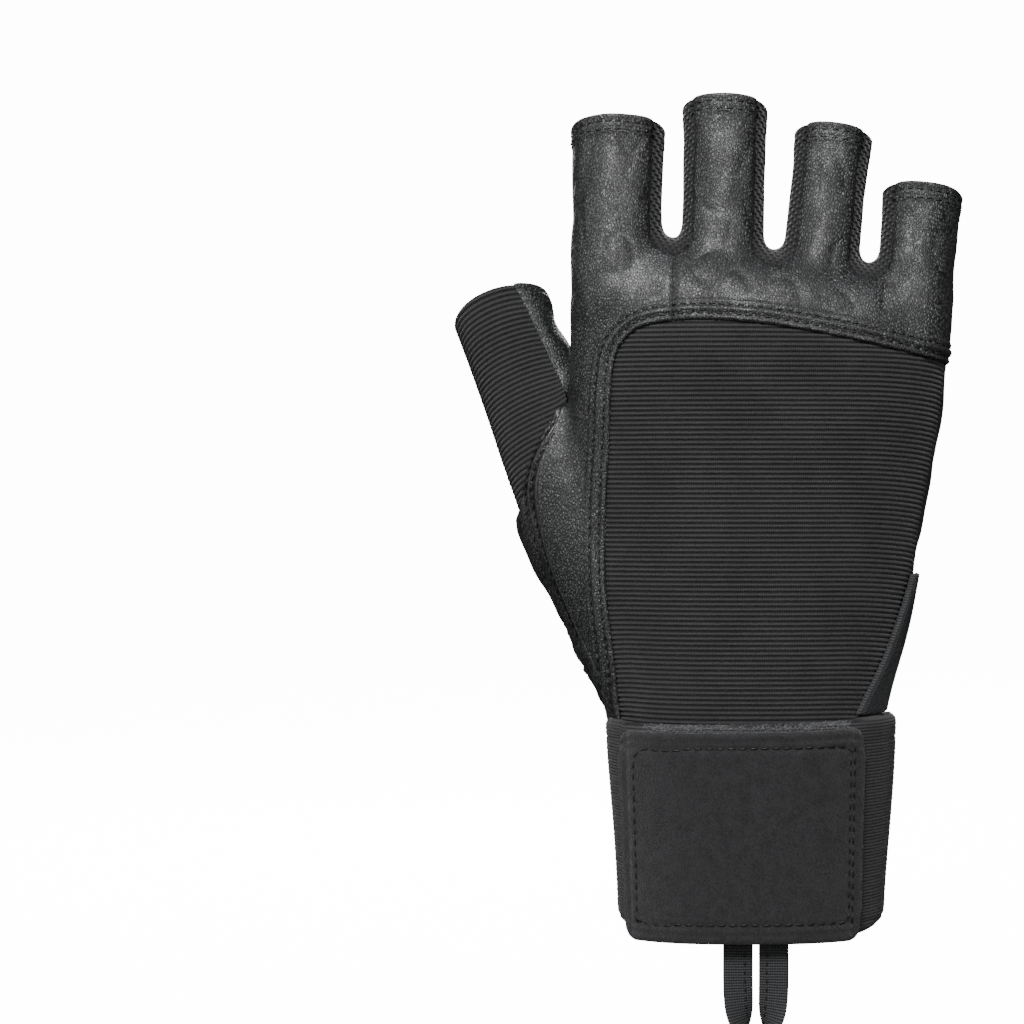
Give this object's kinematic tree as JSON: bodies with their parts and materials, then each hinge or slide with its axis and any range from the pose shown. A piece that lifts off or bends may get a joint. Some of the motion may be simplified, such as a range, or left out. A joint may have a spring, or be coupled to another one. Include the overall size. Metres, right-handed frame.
{
  "type": "weightlifting glove",
  "caption": "Right-hand half-finger weightlifting glove: padded leather palm, ribbed elastic back, knit gussets between fingers, wound elastic wrist wrap, pull tabs and a hanging loop.",
  "frame": {"origin": "middle of the wrist opening, level with the lower rim of the wrist wrap", "axes": "+Z towards the fingertips, -X to the thumb side, +Y out of the palm"},
  "size_m": [0.132, 0.054, 0.239],
  "materials": {
    "leather": "fine pebble grain, soft sheen",
    "ribbed_elastic": "horizontal ribs, matt",
    "knit": "coarse diagonal knit",
    "elastic": "woven elastic with fine ribs",
    "loop_cloth": "brushed loop cloth, matt",
    "suede": "microfibre suede, matt"
  },
  "bodies": {
    "root": {"palm_leather": "leather", "thumb_saddle": "leather", "thumb_strip": "leather", "index_panel": "leather", "knuckle_yoke": "leather", "crotch_patch": "leather", "thumb_fabric": "ribbed_elastic", "back_fabric": "ribbed_elastic", "gusset_index_middle": "knit", "gusset_middle_ring": "knit", "gusset_ring_little": "knit", "wrist_cuff": "elastic", "wrist_wrap": "elastic", "strap_anchor": "elastic", "hang_loop": "elastic", "closure_tab": "loop_cloth", "pull_tab_middle": "suede", "pull_tab_ring": "suede"}
  },
  "joints": []
}
